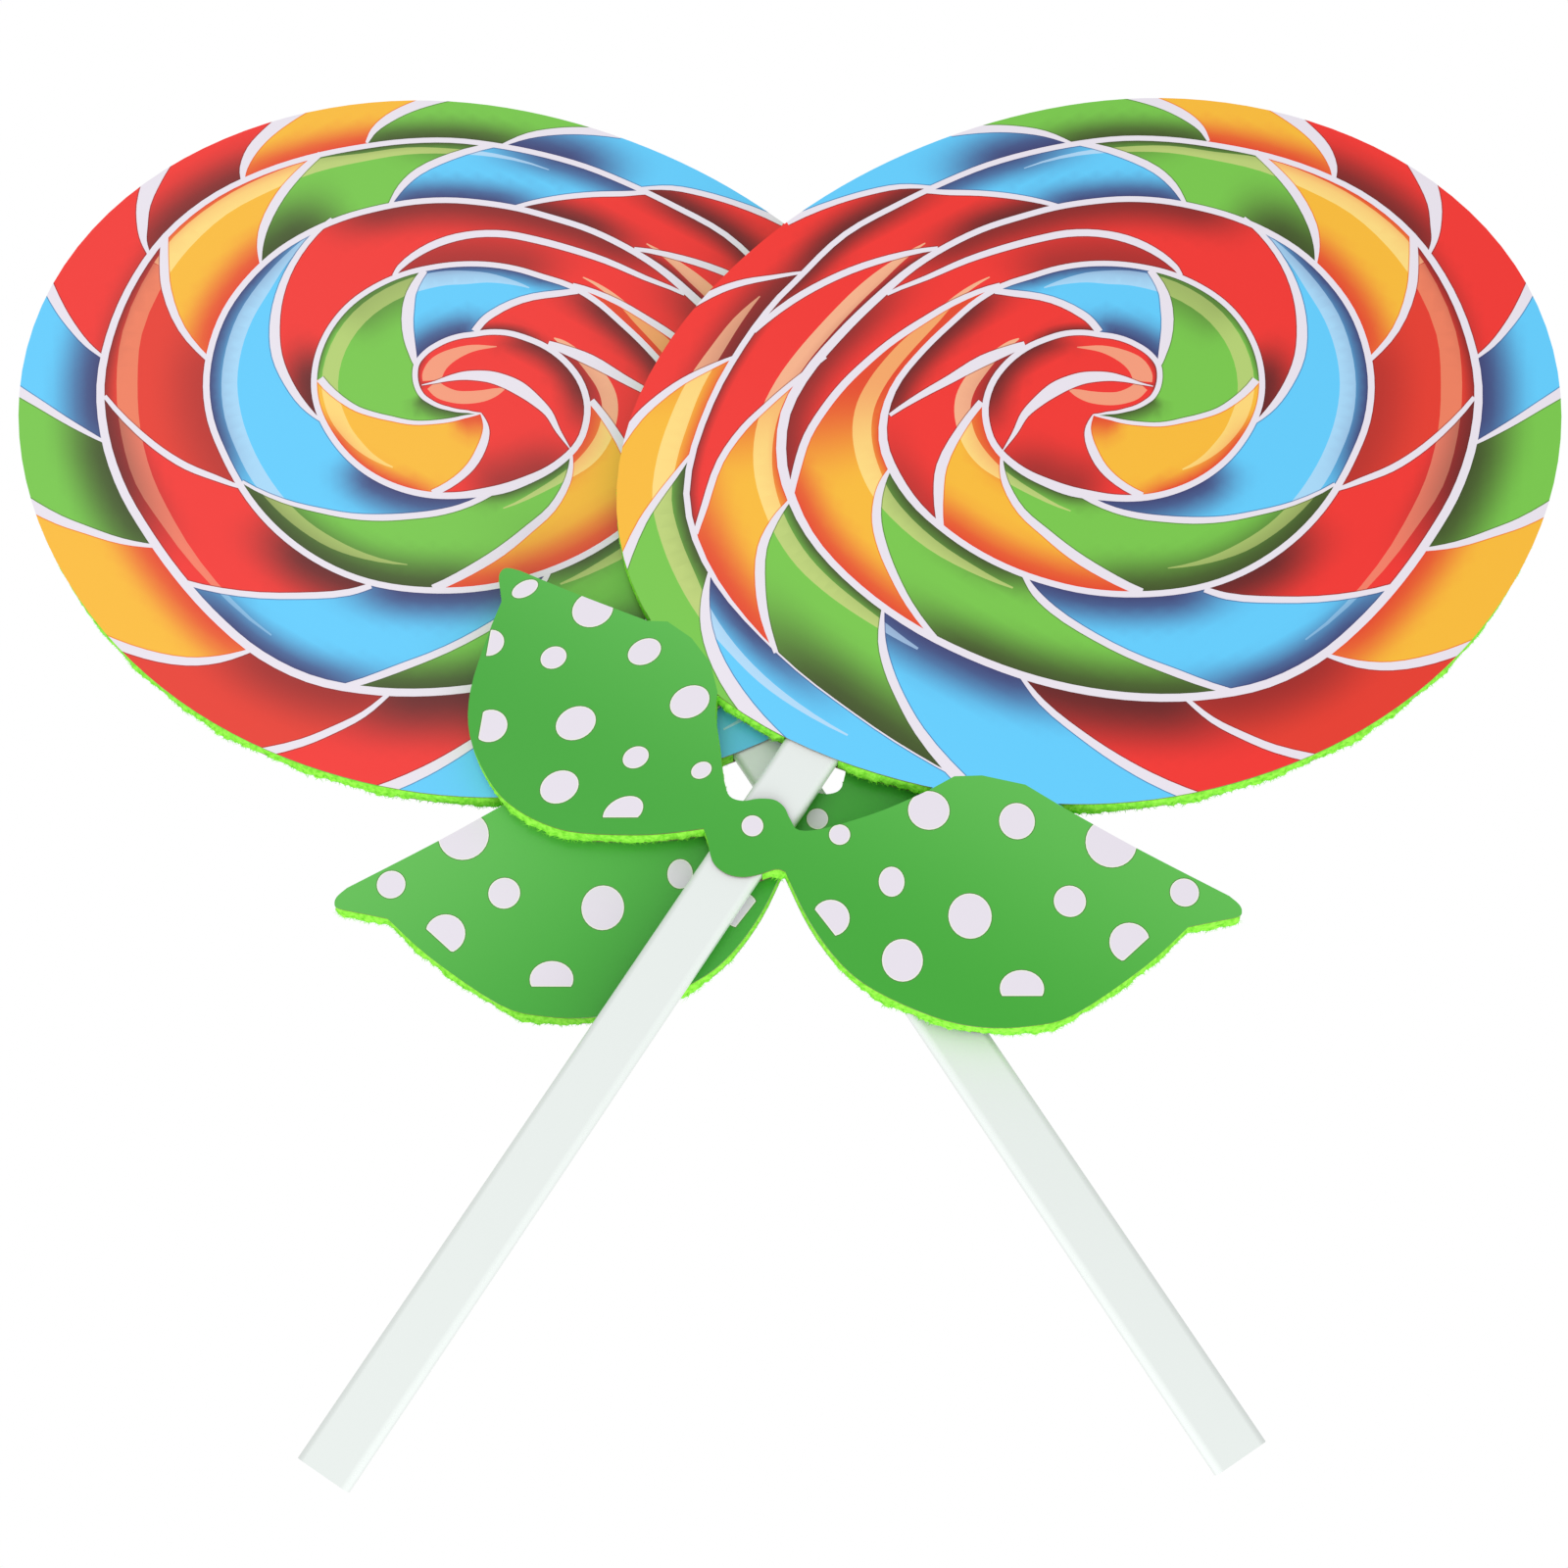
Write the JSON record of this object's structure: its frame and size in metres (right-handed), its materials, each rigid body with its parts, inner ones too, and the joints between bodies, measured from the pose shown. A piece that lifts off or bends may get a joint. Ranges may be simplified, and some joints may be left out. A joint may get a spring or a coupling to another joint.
{
  "type": "crossed swirl lollipop props",
  "caption": "Flat hand-held lollipop stage props lying crossed: oval swirl-printed cards with a polka-dot bow on a felt core, each held by a flat square-cut stick.",
  "frame": {"origin": "centre of the base of the crossed props, on the surface they lie on", "axes": "+X across both discs towards the front prop's disc, +Y up the sheet from the stick ends to the discs, +Z out of the printed faces"},
  "size_m": [0.5098, 0.4632, 0.0191],
  "materials": {
    "printed_card": "gloss",
    "felt": "matte",
    "stick_plastic": "gloss"
  },
  "bodies": {
    "back_lollipop": {"back_lollipop_face_card": "printed_card", "back_lollipop_felt_core": "felt", "back_lollipop_stick": "stick_plastic", "back_lollipop_rear_card": "printed_card"},
    "front_lollipop": {"front_lollipop_face_card": "printed_card", "front_lollipop_felt_core": "felt", "front_lollipop_stick": "stick_plastic", "front_lollipop_rear_card": "printed_card"}
  },
  "joints": [
    {"name": "front_lollipop_lift", "type": "slide", "parent": "back_lollipop", "child": "front_lollipop", "axis": [0, 0, 1], "range_m": [0, 0.12]}
  ]
}
